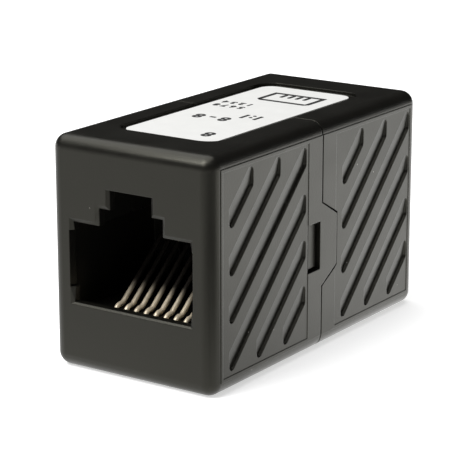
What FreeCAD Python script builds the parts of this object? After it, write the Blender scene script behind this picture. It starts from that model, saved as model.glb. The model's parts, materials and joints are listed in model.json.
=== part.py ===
"""RJ45 inline coupler: two identical snap-together half cases, back to back.

X runs across the coupler, Y along it and Z upwards, in millimetres.  The origin
is the middle of the base.  The front socket opens towards -Y and the rear
socket towards +Y; the half cases meet at Y = 0.  Every rear piece is the same
moulding or wire as its front twin, turned half a turn about Z.
"""
import FreeCAD
import Part
import Sketcher
import math
import os

from FreeCAD import Placement, Rotation, Vector

DRIVING_SIZES = [
    ("case_width", 16.4, "outside, across X"),
    ("case_length", 32.6, "outside, mouth to mouth"),
    ("case_height", 20.0, "outside, base to top"),
    ("edge_radius", 1.2, "outside edges of the case"),
    ("panel_inset", 1.15, "edge of the raised side panels from the case's edges"),
    ("panel_rise", 0.05, "side panels proud of the case"),
    ("field_inset", 0.3, "grip field inside the side panel's edges"),
    ("field_land", 2.2, "plain land between grip field and seam"),
    ("field_sink", 0.04, "grip field below the side panel"),
    ("seam_gap", 0.16, "dark line between the half cases"),
    ("front_wall", 0.85, "wall that the mouth is cut in"),
    ("side_wall", 1.6, "side walls of a half case"),
    ("base_wall", 1.5, "bottom wall of a half case"),
    ("top_wall", 1.6, "top wall of a half case"),
    ("mouth_sill", 5.7, "height of the mouth's sill"),
    ("mouth_width", 12.44, "main opening for the plug body"),
    ("mouth_height", 7.04, "main opening, sill to shoulder"),
    ("relief_depth", 0.14, "shallow relief in each side of the mouth"),
    ("relief_start", 1.27, "relief's lower end above the sill"),
    ("relief_height", 4.81, "length of the relief up the side"),
    ("latch_step_width", 7.25, "wide step for the plug's latch"),
    ("latch_step_height", 1.46, "rise of the wide step"),
    ("latch_slot_width", 4.9, "narrow slot for the latch tongue"),
    ("latch_slot_height", 1.25, "rise of the narrow slot"),
    ("mouth_edge", 0.1, "bevel of the mouth's outer edges"),
    ("tongue_middle", 9.3, "height of the middle of tongue and notch"),
    ("tongue_root", 7.3, "tongue's height at the seam"),
    ("tongue_tip", 4.5, "tongue's height at its tip"),
    ("tongue_reach", 2.38, "how far the tongue passes the seam"),
    ("tongue_gap", 0.12, "clearance round the tongue in its notch"),
    ("window_start", 0.3, "window's near edge from the seam"),
    ("window_length", 1.95, "window along Y"),
    ("window_height", 4.22, "window up the side"),
    ("arm_thickness", 1.0, "snap arm, across X"),
    ("arm_height", 3.9, "snap arm, up Z"),
    ("arm_gap", 0.12, "clearance between snap arm and the other case"),
    ("arm_root", 1.5, "length of arm joined to its own side wall"),
    ("hook_sink", 0.4, "hook's face below the case side"),
    ("hook_gap", 0.14, "clearance between hook and window"),
    ("hook_lead", 0.5, "sloped lead of the hook"),
    ("grip_pitch", 4.0, "spacing of the grip recesses along the side"),
    ("grip_length", 11.4, "field of grip recesses along Y"),
    ("grip_height", 15.42, "field of grip recesses up Z"),
    ("grip_base", 1.3, "height at which the first recess wall would start"),
    ("grip_tongue_land", 2.55, "plain land beside the tongue"),
    ("grip_notch_land", 3.3, "plain land beside the notch"),
    ("grip_depth", 0.6, "depth of a recess at the foot of its wall"),
    ("grip_width", 1.5, "width of a recess across its slant"),
    ("grip_tilt", 7.0, "slope of the recess floor down to the wall, in degrees"),
    ("grip_clip", 0.57, "cut across the pointed ends of a recess"),
    ("grip_corner", 0.5, "rounding at both ends of a recess wall"),
    ("grip_tip", 0.3, "rounding of a recess's cut ends"),
    ("label_recess_width", 10.4, "recess on top, across X"),
    ("label_recess_length", 23.4, "recess on top, along Y"),
    ("label_recess_depth", 0.3, "recess on top"),
    ("label_recess_corner", 1.75, "corner radius of the recess"),
    ("label_width", 9.2, "paper label, across X"),
    ("label_length", 22.2, "paper label, along Y"),
    ("label_thickness", 0.15, "paper label"),
    ("label_corner", 1.2, "corner radius of the label"),
    ("label_offset", -0.2, "label's middle from the seam"),
    ("block_gap", 0.1, "clearance between contact block and case"),
    ("plug_depth", 12.2, "mouth face to the plug stop"),
    ("stop_wall", 1.0, "thickness of the plug stop"),
    ("ceiling_gap", 0.1, "block's ceiling above the mouth's shoulder"),
    ("latch_room_depth", 9.6, "mouth face to the end of the latch channel"),
    ("latch_room_gap", 0.3, "latch channel above the mouth's slot"),
    ("contact_pitch", 1.016, "spacing of the eight contacts"),
    ("wire_width", 0.4, "square contact wire"),
    ("wire_gap", 0.06, "clearance between wire and block"),
    ("bend_depth", 2.65, "mouth face to the middle of the front bend"),
    ("bend_rise", 1.45, "height of the front bend, wire middle to middle"),
    ("bend_radius", 0.6, "bends of the wire, at its middle"),
    ("contact_top", 5.3, "middle of the wire above the front bend"),
    ("slope_start", 0.95, "front bend to the sloped spring"),
    ("spring_angle", 39.0, "slope of the spring, degrees"),
    ("spring_length", 7.6, "sloped spring"),
    ("tail_rows", 2.54, "height between the two rows of tails"),
    ("tail_straight", 0.75, "straight tail before the board"),
    ("tail_proud", 0.6, "tail past the far face of the board"),
    ("tooth_lead", 0.1, "comb teeth ahead of the wires"),
    ("comb_nose", 0.22, "broken edges of the comb floor inside the front bend"),
    ("joggle_room", 0.3, "clearance over the wires where they part into rows"),
    ("comb_depth", 0.6, "guide slots in the plug stop"),
    ("comb_height", 5.2, "guide slots above the comb floor"),
    ("board_thickness", 1.2, "circuit board"),
    ("board_width", 10.3, "circuit board, across X"),
    ("board_gap", 0.6, "board's edges from the case's bottom and top walls"),
    ("board_hole_gap", 0.1, "clearance round a tail in its hole"),
    ("leg_width", 1.4, "square legs that hold the board"),
    ("leg_gap", 0.05, "clearance between leg and board"),
    ("leg_spread", 8.0, "distance between the legs' outer faces"),
    ("leg_inset", 1.0, "legs inside the board's upper and lower edge"),
]

CONTACT_COUNT = 8
DIAGONAL = math.sqrt(2)
HALF_TURN = Rotation(Vector(0, 0, 1), 180)
NO_TURN = Rotation()


class Size:
    """A number and the sheet formula that FreeCAD works it out by again."""

    def __init__(self, number, formula):
        self.number = number
        self.formula = formula

    def joined(self, sign, other, number):
        return Size(number, "(%s %s %s)" % (self.formula, sign, size_of(other).formula))

    def __add__(self, other):
        return self.joined("+", other, self.number + size_of(other).number)

    def __radd__(self, other):
        return size_of(other) + self

    def __sub__(self, other):
        return self.joined("-", other, self.number - size_of(other).number)

    def __rsub__(self, other):
        return size_of(other) - self

    def __mul__(self, other):
        return self.joined("*", other, self.number * size_of(other).number)

    def __rmul__(self, other):
        return size_of(other) * self

    def __truediv__(self, other):
        return self.joined("/", other, self.number / size_of(other).number)

    def __neg__(self):
        return Size(-self.number, "(0 - %s)" % self.formula)


def size_of(item):
    """Take a plain number as a Size, and leave a Size as it is."""
    if isinstance(item, Size):
        return item
    return Size(float(item), "%.9g" % item if item >= 0 else "(0 - %.9g)" % -item)


def smaller(first, second):
    """The smaller of two sizes."""
    return Size(min(first.number, second.number), "min(%s; %s)" % (first.formula, second.formula))


def cosine(angle):
    """Cosine of an angle in degrees."""
    return Size(math.cos(math.radians(angle.number)), "cos(%s)" % angle.formula)


def sine(angle):
    """Sine of an angle in degrees."""
    return Size(math.sin(math.radians(angle.number)), "sin(%s)" % angle.formula)


def make_sheet(doc):
    """Write the driving sizes into the spreadsheet and return them by name."""
    sheet = doc.addObject("Spreadsheet::Sheet", "sizes")
    table = {}
    for row, (name, number, meaning) in enumerate(DRIVING_SIZES, start=1):
        sheet.set("A%d" % row, name)
        sheet.set("B%d" % row, "%g" % number)
        sheet.set("C%d" % row, meaning)
        sheet.setAlias("B%d" % row, name)
        table[name] = Size(number, "sizes." + name)
    doc.recompute()
    return table


def bind(item, attribute, size):
    """Set a property to a size and tie it to the sheet."""
    size = size_of(size)
    if "." not in attribute:
        setattr(item, attribute, size.number)
    item.setExpression(attribute, size.formula)


def new_body(doc, label, rotation=NO_TURN):
    """Start a sub-part: a body whose label is the name of its file."""
    body = doc.addObject("PartDesign::Body", label)
    body.Label = label
    body.Placement = Placement(Vector(0, 0, 0), rotation)
    return body


def plane_sketch(body, name, plane, offset=0):
    """A sketch on one of the body's origin planes, moved along the plane's normal."""
    sketch = body.newObject("Sketcher::SketchObject", name)
    support = [item for item in body.Origin.OriginFeatures if item.Role == plane][0]
    sketch.AttachmentSupport = (support, [""])
    sketch.MapMode = "FlatFace"
    offset = size_of(offset)
    sketch.AttachmentOffset = Placement(Vector(0, 0, offset.number), NO_TURN)
    sketch.setExpression("AttachmentOffset.Base.z", offset.formula)
    return sketch


def fix_point(sketch, element, corner, point):
    """Dimension one sketch point from the origin along both axes."""
    for direction, size in zip(("DistanceX", "DistanceY"), point):
        size = size_of(size)
        number = sketch.addConstraint(
            Sketcher.Constraint(direction, -1, 1, element, corner, size.number))
        sketch.setExpression("Constraints[%d]" % number, size.formula)


def draw_polygon(sketch, points):
    """Closed outline of straight lines through the given points."""
    places = [Vector(size_of(u).number, size_of(v).number, 0) for u, v in points]
    for start, end in zip(places, places[1:] + places[:1]):
        sketch.addGeometry(Part.LineSegment(start, end), False)
    for line in range(len(points)):
        following = (line + 1) % len(points)
        sketch.addConstraint(Sketcher.Constraint("Coincident", line, 2, following, 1))
        fix_point(sketch, line, 1, points[line])


def rectangle(left, bottom, right, top):
    """Corner points of an upright rectangle."""
    return [(left, bottom), (right, bottom), (right, top), (left, top)]


def pad(body, name, plane, outline, start, depth):
    """Add material from one plane offset over a depth along the plane's normal."""
    sketch = plane_sketch(body, name + "_outline", plane, start)
    draw_polygon(sketch, outline)
    feature = body.newObject("PartDesign::Pad", name)
    feature.Profile = sketch
    bind(feature, "Length", depth)
    body.Document.recompute()
    return feature


def cut(body, name, plane, outline, start, depth):
    """Remove material from one plane offset over a depth along the plane's normal."""
    before = body.Shape.Volume
    sketch = plane_sketch(body, name + "_outline", plane, start)
    draw_polygon(sketch, outline)
    feature = body.newObject("PartDesign::Pocket", name)
    feature.Profile = sketch
    feature.Reversed = True
    bind(feature, "Length", depth)
    body.Document.recompute()
    if not feature.Shape.Volume < before:
        raise RuntimeError("%s removes nothing from %s" % (name, body.Label))
    return feature


def repeat(body, feature, name, axis, length, copies):
    """Repeat a feature in a straight row along one of the body's axes."""
    row = body.newObject("PartDesign::LinearPattern", name)
    row.Originals = [feature]
    direction = [item for item in body.Origin.OriginFeatures if item.Role == axis][0]
    row.Direction = (direction, [""])
    bind(row, "Length", length)
    row.Occurrences = copies
    body.Tip = row
    body.Document.recompute()
    return row


def soften(body, kind, name, edges, size_name, size):
    """Fillet or chamfer the given edges of the body's last feature."""
    feature = body.newObject("PartDesign::" + kind, name)
    feature.Base = (body_tip_before(body, feature), edges)
    bind(feature, size_name, size)
    body.Document.recompute()
    return feature


def body_tip_before(body, feature):
    """The solid feature that a new dress-up feature is built on."""
    solids = [item for item in body.Group
              if item.isDerivedFrom("PartDesign::Feature") and item is not feature
              and item.Name != feature.Name]
    return solids[-1]


def edges_where(body, test):
    """Names of the body's edges whose every vertex and middle pass the test."""
    base = body_tip_before(body, body)
    names = []
    for number, edge in enumerate(base.Shape.Edges, start=1):
        places = [vertex.Point for vertex in edge.Vertexes]
        places.append(edge.valueAt((edge.FirstParameter + edge.LastParameter) / 2))
        if all(test(place) for place in places):
            names.append("Edge%d" % number)
    return names


def near(first, second):
    """Whether two coordinates agree to a hundredth of a micrometre."""
    return abs(first - second) < 1e-5


# ---------------------------------------------------------------- half case

def mouth_outline(table):
    """Stepped socket opening in the front wall, seen from the front."""
    middle = table["mouth_width"] / 2
    relief = middle + table["relief_depth"]
    step = table["latch_step_width"] / 2
    slot = table["latch_slot_width"] / 2
    sill = table["mouth_sill"]
    relief_low = sill + table["relief_start"]
    relief_high = relief_low + table["relief_height"]
    shoulder = sill + table["mouth_height"]
    step_top = shoulder + table["latch_step_height"]
    slot_top = step_top + table["latch_slot_height"]
    right = [(middle, sill), (middle, relief_low), (relief, relief_low), (relief, relief_high),
             (middle, relief_high), (middle, shoulder), (step, shoulder), (step, step_top),
             (slot, step_top), (slot, slot_top)]
    left = [(-across, up) for across, up in reversed(right)]
    return right + left


def tongue_outline(table, toward, overlap, gap):
    """Trapezium that locks the half cases; toward is the side of the seam it points to."""
    root = table["tongue_root"] / 2 + gap
    tip = table["tongue_tip"] / 2 + gap
    middle = table["tongue_middle"]
    reach = toward * (table["tongue_reach"] + gap)
    inside = -toward * overlap
    return [(inside, middle - root), (0, middle - root), (reach, middle - tip),
            (reach, middle + tip), (0, middle + root), (inside, middle + root)]


def half_case(doc, table, label, rotation):
    """One half case: shell, mouth, tongue, notch, window, snap arm, grips, label recess."""
    body = new_body(doc, label, rotation)
    half_width = table["case_width"] / 2
    half_length = table["case_length"] / 2
    height = table["case_height"]
    face = table["seam_gap"] / 2
    room = half_width - table["side_wall"]
    ceiling = height - table["top_wall"]
    flank = half_width - table["panel_rise"]
    spill = 0.5

    pad(body, "Case", "XZ_Plane", rectangle(-flank, 0, flank, height), face, half_length - face)
    seam = -face.number
    soften(body, "Fillet", "Outside_edges",
           edges_where(body, lambda place: not near(place.y, seam))
           + edges_along_length(body, seam, half_length.number), "Radius", table["edge_radius"])
    cut(body, "Room", "XZ_Plane", rectangle(-room, table["base_wall"], room, ceiling),
        face, half_length - face - table["front_wall"])
    cut(body, "Mouth", "XZ_Plane", mouth_outline(table),
        half_length - table["front_wall"] - spill, table["front_wall"] + spill + 1)
    front = -half_length.number
    soften(body, "Chamfer", "Mouth_edges",
           edges_where(body, lambda place: near(place.y, front) and inside_mouth(table, place)),
           "Size", table["mouth_edge"])
    side_panels(body, table, flank)

    pad(body, "Tongue", "YZ_Plane", tongue_outline(table, 1, face + spill, 0),
        room, table["side_wall"])
    cut(body, "Notch", "YZ_Plane", tongue_outline(table, -1, face + spill, table["tongue_gap"]),
        -(half_width + spill), table["side_wall"] + spill)
    snap_window(body, table, room)
    snap_arm(body, table, room)
    label_recess(body, table)
    grip_field(body, table, NO_TURN, -(table["grip_tongue_land"] + table["grip_length"]))
    grip_field(body, table, HALF_TURN, table["grip_notch_land"])
    return body


def side_panels(body, table, flank):
    """Flat panels that stand a little proud of both sides, each with a sunk grip field."""
    inset = table["panel_inset"]
    front = -(table["case_length"] / 2 - inset)
    panel = rectangle(front, inset, -table["seam_gap"] / 2, table["case_height"] - inset)
    inner = inset + table["field_inset"]
    field = rectangle(front + table["field_inset"], inner, -table["field_land"],
                      table["case_height"] - inner)
    half_width = table["case_width"] / 2
    rise = table["panel_rise"]
    sink = table["field_sink"]
    for side, panel_start, field_start in (
            ("tongue_side", flank - rise, half_width - sink),
            ("notch_side", -half_width, -(half_width + rise))):
        pad(body, "Panel_" + side, "YZ_Plane", panel, panel_start, rise * 2)
        cut(body, "Grip_field_" + side, "YZ_Plane", field, field_start, sink + rise)


def edges_along_length(body, seam, half_length):
    """The case's four long edges, from the seam face to the front face."""
    base = body_tip_before(body, body)
    names = []
    for number, edge in enumerate(base.Shape.Edges, start=1):
        ends = sorted(vertex.Point.y for vertex in edge.Vertexes)
        if near(ends[0], -half_length) and near(ends[-1], seam):
            names.append("Edge%d" % number)
    return names


def inside_mouth(table, place):
    """Whether a point of the front face lies on the mouth's outline."""
    across = table["mouth_width"].number / 2 + table["relief_depth"].number + 0.01
    low = table["mouth_sill"].number - 0.01
    high = low + sum(table[name].number for name in
                     ("mouth_height", "latch_step_height", "latch_slot_height")) + 0.02
    return abs(place.x) < across and low < place.z < high


def snap_window(body, table, room):
    """Window in the tongue-side wall, where the other case's hook snaps in."""
    near_edge = -table["window_start"]
    far_edge = near_edge - table["window_length"]
    low = table["tongue_middle"] - table["window_height"] / 2
    cut(body, "Window", "YZ_Plane",
        rectangle(far_edge, low, near_edge, low + table["window_height"]),
        room - 0.2, table["side_wall"] + 0.7)


def snap_arm(body, table, room):
    """Snap arm inside the notch-side wall, with a hook for the other case's window."""
    low = table["tongue_middle"] - table["arm_height"] / 2
    high = low + table["arm_height"]
    notch_end = table["tongue_reach"] + table["tongue_gap"]
    root_end = -(notch_end + table["arm_root"])
    hook_near = table["window_start"] + table["hook_gap"]
    hook_far = table["window_start"] + table["window_length"] - table["hook_gap"]
    arm_face = room - table["arm_gap"]
    pad(body, "Arm", "YZ_Plane", rectangle(root_end, low, hook_far, high),
        -arm_face, table["arm_thickness"])
    pad(body, "Arm_root", "YZ_Plane", rectangle(root_end, low, -notch_end, high),
        -(room + 0.2), table["arm_gap"] + 0.4)
    hook_face = table["case_width"] / 2 - table["hook_sink"]
    hook = [(-hook_face, hook_near), (-hook_face, hook_far - table["hook_lead"]),
            (-arm_face, hook_far), (-(arm_face - 0.2), hook_far), (-(arm_face - 0.2), hook_near)]
    pad(body, "Hook", "XY_Plane", hook, low, table["arm_height"])


def label_recess(body, table):
    """This half's share of the shallow label recess on top."""
    half_width = table["label_recess_width"] / 2
    half_length = table["label_recess_length"] / 2
    floor = table["case_height"] - table["label_recess_depth"]
    cut(body, "Label_recess", "XY_Plane", rectangle(-half_width, -half_length, half_width, 1),
        floor, table["label_recess_depth"] + 1)
    corner = (half_width.number, -half_length.number)
    soften(body, "Fillet", "Label_recess_corners",
           edges_where(body, lambda place: near(abs(place.x), corner[0])
                       and near(place.y, corner[1])),
           "Radius", table["label_recess_corner"])


def grip_field(body, table, side, field_start):
    """Slanted thumb-grip recesses, each with its floor sloping down to a steep wall, on one side."""
    pitch = table["grip_pitch"]
    below = int(table["grip_length"].number // pitch.number)
    above = int(table["grip_height"].number // pitch.number)
    side_name = "tongue_side" if side == NO_TURN else "notch_side"
    outward = 1 if side == NO_TURN else -1
    wall_ends, cut_ends = [], []
    for step in range(-below, above + 1):
        start = pitch * abs(step)
        end = smaller(table["grip_height"] * 2 - pitch * step,
                      table["grip_length"] * 2 + pitch * step)
        along = field_start + (start - pitch * step) / 2
        up = table["grip_base"] + (start + pitch * step) / 2
        name = "Grip_%s_%d" % (side_name, step + below + 1)
        corners = grip_outline(table, (end - start) / DIAGONAL)
        sketch = tilted_sketch(body, table, name + "_outline", side, along, up)
        draw_polygon(sketch, corners)
        recess = body.newObject("PartDesign::Pocket", name)
        recess.Profile = sketch
        recess.Reversed = True
        bind(recess, "Length", table["grip_depth"] * 1.5)
        body.Document.recompute()
        rims = [rim_point(table, sketch, outward, corner) for corner in corners]
        wall_ends += rims[0:2]
        cut_ends += [rims[2], rims[5]]
    round_grip_ends(body, table, "Grip_wall_ends_" + side_name, outward, wall_ends, "grip_corner")
    round_grip_ends(body, table, "Grip_cut_ends_" + side_name, outward, cut_ends, "grip_tip")


def grip_outline(table, length):
    """Outline of a recess: its wall along the first axis, its ends upright, its tips cut."""
    width = table["grip_width"]
    rise = width * DIAGONAL - table["grip_clip"]
    clip = table["grip_clip"] / DIAGONAL
    return [(clip * 2, 0), (length, 0), (length + rise / DIAGONAL, rise / DIAGONAL),
            (length + rise / DIAGONAL - clip, width), (width, width), (clip, clip)]


def tilted_sketch(body, table, name, side, along, up):
    """Sketch on the sloping floor of a recess, its first axis along the foot of the wall."""
    tilt = math.radians(table["grip_tilt"].number)
    slant = Vector(0, 1, 1).normalize()
    out = Vector(math.cos(tilt), math.sin(tilt) / DIAGONAL, -math.sin(tilt) / DIAGONAL)
    lean = table["grip_depth"] * math.tan(tilt) / DIAGONAL
    outward = 1 if side == NO_TURN else -1
    sketch = body.newObject("Sketcher::SketchObject", name)
    sketch.Placement = Placement(
        Vector(0, 0, 0), side.multiply(Rotation(slant, out.cross(slant), out, "ZXY")))
    foot = table["case_width"] / 2 - table["field_sink"] - table["grip_depth"]
    bind(sketch, "Placement.Base.x", foot * outward)
    bind(sketch, "Placement.Base.y", (along - lean) * outward)
    bind(sketch, "Placement.Base.z", up + lean)
    body.Document.recompute()
    return sketch


def rim_point(table, sketch, outward, corner):
    """Point on the grip field's face straight out from a corner of a recess floor."""
    face = outward * (table["case_width"] / 2 - table["field_sink"]).number
    point = sketch.Placement.multVec(
        Vector(size_of(corner[0]).number, size_of(corner[1]).number, 0))
    out = sketch.Placement.Rotation.multVec(Vector(0, 0, 1))
    return point + out * ((face - point.x) / out.x)


def round_grip_ends(body, table, name, outward, rims, size_name):
    """Round the upright corners of the recesses that end at the given rim points."""
    face = outward * (table["case_width"] / 2 - table["field_sink"]).number
    names = []
    for number, edge in enumerate(body_tip_before(body, body).Shape.Edges, start=1):
        ends = sorted((vertex.Point for vertex in edge.Vertexes), key=lambda place: abs(place.x))
        if len(ends) != 2 or not near(ends[1].x, face) or near(ends[0].x, face):
            continue
        if any(rim.distanceToPoint(ends[1]) < 1e-4 for rim in rims):
            names.append("Edge%d" % number)
    if len(names) != len(rims):
        raise RuntimeError("%s finds %d of %d corners" % (name, len(names), len(rims)))
    soften(body, "Fillet", name, names, "Radius", table[size_name])


# ------------------------------------------------------------ contact block

def wire_levels(table):
    """Heights of the comb floor and of the roof over the wires' lower run."""
    clear = table["wire_width"] / 2 + table["wire_gap"]
    floor = table["contact_top"] - clear
    roof = table["contact_top"] - table["bend_rise"] + clear
    return floor, roof


def contact_block(doc, table, label, rotation):
    """Moulded insert: comb, plug stop and latch channel, C-shaped from the side."""
    body = new_body(doc, label, rotation)
    mouth = -table["case_length"] / 2
    half_width = table["case_width"] / 2 - table["side_wall"] - table["block_gap"]
    base = table["base_wall"] + table["block_gap"]
    top = table["case_height"] - table["top_wall"] - table["block_gap"]
    shoulder = table["mouth_sill"] + table["mouth_height"]
    ceiling = shoulder + table["ceiling_gap"]
    floor, roof = wire_levels(table)
    stop = mouth + table["plug_depth"]
    back = stop + table["stop_wall"]
    teeth = mouth + table["bend_depth"] - table["wire_width"] / 2 - table["tooth_lead"]
    upper_front = mouth + table["front_wall"] + table["block_gap"]
    profile = [(teeth, base), (back, base), (back, top), (upper_front, top),
               (upper_front, ceiling), (stop, ceiling), (stop, floor), (teeth, floor)]
    pad(body, "Block", "YZ_Plane", profile, -half_width, half_width * 2)
    latch_channel(body, table, ceiling, upper_front)
    arm_reliefs(body, table, stop, half_width)
    wire_slots(body, table, teeth, back, roof, floor)
    guide_slots(body, table, stop, floor)
    board_legs(body, table, back)
    return body


def latch_channel(body, table, ceiling, upper_front):
    """Channel over the plug for its latch, as wide as the mouth's wide step."""
    half_width = table["latch_step_width"] / 2
    slot_top = (table["mouth_sill"] + table["mouth_height"] + table["latch_step_height"]
                + table["latch_slot_height"] + table["latch_room_gap"])
    end = table["case_length"] / 2 - table["latch_room_depth"]
    cut(body, "Latch_channel", "XZ_Plane",
        rectangle(-half_width, ceiling - 0.2, half_width, slot_top),
        end, -upper_front + 0.2 - end)


def arm_reliefs(body, table, stop, half_width):
    """Cut-outs at both sides of the plug stop that leave room for the snap arms."""
    clear = table["arm_gap"]
    low = table["tongue_middle"] - table["arm_height"] / 2 - clear
    high = low + table["arm_height"] + clear * 2
    arm_inner = table["case_width"] / 2 - table["side_wall"] - clear - table["arm_thickness"]
    for side, left in (("right", arm_inner - clear), ("left", -(half_width + 0.2))):
        cut(body, "Arm_relief_" + side, "XZ_Plane",
            rectangle(left, low, left + half_width + 0.2 - arm_inner + clear, high),
            -stop - table["stop_wall"] - 0.2, table["stop_wall"] + 0.4)


def wire_slots(body, table, teeth, back, roof, floor):
    """Eight slots, open below, that the wires lie in and wrap round the comb floor."""
    slot = table["wire_width"] + table["wire_gap"] * 2
    nose = (-table["case_length"] / 2 + table["bend_depth"] + table["wire_width"] / 2
            + table["wire_gap"])
    under = table["base_wall"] - 0.2
    broken = table["comb_nose"]
    parting = smaller(back - table["stop_wall"],
                      -table["board_thickness"] / 2 - table["tail_straight"]
                      - table["tail_rows"] / 2 - table["bend_radius"])
    high_roof = roof + table["tail_rows"] / 2 + table["joggle_room"]
    profile = [(teeth - 0.2, under), (back + 0.2, under), (back + 0.2, high_roof),
               (parting, high_roof), (parting, roof), (nose + broken, roof),
               (nose, roof + broken), (nose, floor - broken), (nose + broken, floor),
               (nose + broken, floor + 0.2), (teeth - 0.2, floor + 0.2)]
    span = table["contact_pitch"] * (CONTACT_COUNT - 1)
    first = cut(body, "Wire_slot", "YZ_Plane", profile, -(span / 2 + slot / 2), slot)
    repeat(body, first, "Wire_slots", "X_Axis", span, CONTACT_COUNT)


def guide_slots(body, table, stop, floor):
    """Eight upright guide slots in the plug stop, in line with the springs."""
    slot = table["wire_width"] + table["wire_gap"] * 2
    span = table["contact_pitch"] * (CONTACT_COUNT - 1)
    first = cut(body, "Guide_slot", "YZ_Plane",
                rectangle(stop - 0.2, floor, stop + table["comb_depth"],
                          floor + table["comb_height"]),
                -(span / 2 + slot / 2), slot)
    repeat(body, first, "Guide_slots", "X_Axis", span, CONTACT_COUNT)


def board_legs(body, table, back):
    """Four square legs that hold the circuit board in place."""
    width = table["leg_width"]
    outer = table["leg_spread"] / 2
    board_face = -table["board_thickness"] / 2 - table["leg_gap"]
    bottom, top = board_edges(table)
    low = bottom + table["leg_inset"]
    high = top - table["leg_inset"] - width
    for name, left, foot in (("upper_left", -outer, high), ("upper_right", outer - width, high),
                             ("lower_left", -outer - width, low), ("lower_right", outer, low)):
        pad(body, "Leg_" + name, "XZ_Plane", rectangle(left, foot, left + width, foot + width),
            -board_face, board_face - back + 0.2)


# ----------------------------------------------------- board, label, contacts

def board_edges(table):
    """Heights of the circuit board's lower and upper edge."""
    gap = table["board_gap"]
    return table["base_wall"] + gap, table["case_height"] - table["top_wall"] - gap


def tail_heights(table):
    """Heights of the lower and the upper row of tails."""
    run = table["contact_top"] - table["bend_rise"]
    return run - table["tail_rows"] / 2, run + table["tail_rows"] / 2


def circuit_board(doc, table):
    """Upright board at the seam with two rows of holes for the wires' tails."""
    body = new_body(doc, "circuit_board")
    half_width = table["board_width"] / 2
    thickness = table["board_thickness"]
    bottom, top = board_edges(table)
    pad(body, "Board", "XZ_Plane", rectangle(-half_width, bottom, half_width, top),
        -thickness / 2, thickness)
    span = table["contact_pitch"] * (CONTACT_COUNT - 1)
    reach = table["wire_width"] / 2 + table["board_hole_gap"]
    for name, height in zip(("Lower_hole", "Upper_hole"), tail_heights(table)):
        outline = rectangle(-span / 2 - reach, height - reach, -span / 2 + reach, height + reach)
        hole = cut(body, name, "XZ_Plane", outline, -thickness / 2 - 0.1, thickness + 0.2)
        repeat(body, hole, name + "s", "X_Axis", span, CONTACT_COUNT)
    return body


def label(doc, table):
    """Paper label in the recess on top, across the seam."""
    body = new_body(doc, "label")
    half_width = table["label_width"] / 2
    half_length = table["label_length"] / 2
    middle = table["label_offset"]
    pad(body, "Paper", "XY_Plane",
        rectangle(-half_width, middle - half_length, half_width, middle + half_length),
        table["case_height"] - table["label_recess_depth"], table["label_thickness"])
    across = half_width.number
    soften(body, "Fillet", "Paper_corners",
           [name for name in edges_where(body, lambda place: near(abs(place.x), across))
            if upright(body, name)], "Radius", table["label_corner"])
    return body


def upright(body, name):
    """Whether an edge runs along Z."""
    edge = body_tip_before(body, body).Shape.getElement(name)
    first, last = (vertex.Point for vertex in edge.Vertexes)
    return near(first.x, last.x) and near(first.y, last.y)


def contact_corners(table, tail_height):
    """Corners of a contact wire's middle line, from its tail to its free end."""
    mouth = -table["case_length"] / 2
    board = table["board_thickness"] / 2
    bend = mouth + table["bend_depth"]
    top = table["contact_top"]
    run = top - table["bend_rise"]
    tail_start = -board - table["tail_straight"]
    joggle = tail_start - table["tail_rows"] / 2
    slope = bend + table["slope_start"]
    reach = table["spring_length"]
    angle = table["spring_angle"]
    return [(board + table["tail_proud"], tail_height), (tail_start, tail_height),
            (joggle, run), (bend, run), (bend, top), (slope, top),
            (slope + reach * cosine(angle), top + reach * sine(angle))]


def draw_rounded_path(sketch, corners, radius):
    """Open path of straight runs joined by tangent arcs at dimensioned corners."""
    places = [Vector(size_of(u).number, size_of(v).number, 0) for u, v in corners]
    starts, ends = list(places[:-1]), list(places[1:])
    arcs = []
    for index in range(1, len(places) - 1):
        back = (places[index - 1] - places[index]).normalize()
        ahead = (places[index + 1] - places[index]).normalize()
        half = back.getAngle(ahead) / 2
        trim = radius.number / math.tan(half)
        ends[index - 1] = places[index] + back * trim
        starts[index] = places[index] + ahead * trim
        bisector = (back + ahead).normalize()
        centre = places[index] + bisector * (radius.number / math.sin(half))
        middle = centre - bisector * radius.number
        arcs.append(Part.Arc(ends[index - 1], middle, starts[index]))
    lines = [sketch.addGeometry(Part.LineSegment(start, end), False)
             for start, end in zip(starts, ends)]
    for index, arc in enumerate(arcs):
        join_with_arc(sketch, lines[index], lines[index + 1], arc, ends[index], radius)
    for index, corner in enumerate(corners[1:-1], start=1):
        point = sketch.addGeometry(Part.Point(places[index]), True)
        sketch.addConstraint(Sketcher.Constraint("PointOnObject", point, 1, lines[index - 1]))
        sketch.addConstraint(Sketcher.Constraint("PointOnObject", point, 1, lines[index]))
        fix_point(sketch, point, 1, corner)
    fix_point(sketch, lines[0], 1, corners[0])
    fix_point(sketch, lines[-1], 2, corners[-1])


def join_with_arc(sketch, before, after, arc, arrival, radius):
    """Put a tangent arc of the given radius between two lines."""
    item = sketch.addGeometry(arc, False)
    first, last = (1, 2) if sketch.getPoint(item, 1).distanceToPoint(arrival) < 1e-6 else (2, 1)
    sketch.addConstraint(Sketcher.Constraint("Tangent", before, 2, item, first))
    sketch.addConstraint(Sketcher.Constraint("Tangent", item, last, after, 1))
    number = sketch.addConstraint(Sketcher.Constraint("Radius", item, radius.number))
    sketch.setExpression("Constraints[%d]" % number, radius.formula)


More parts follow.
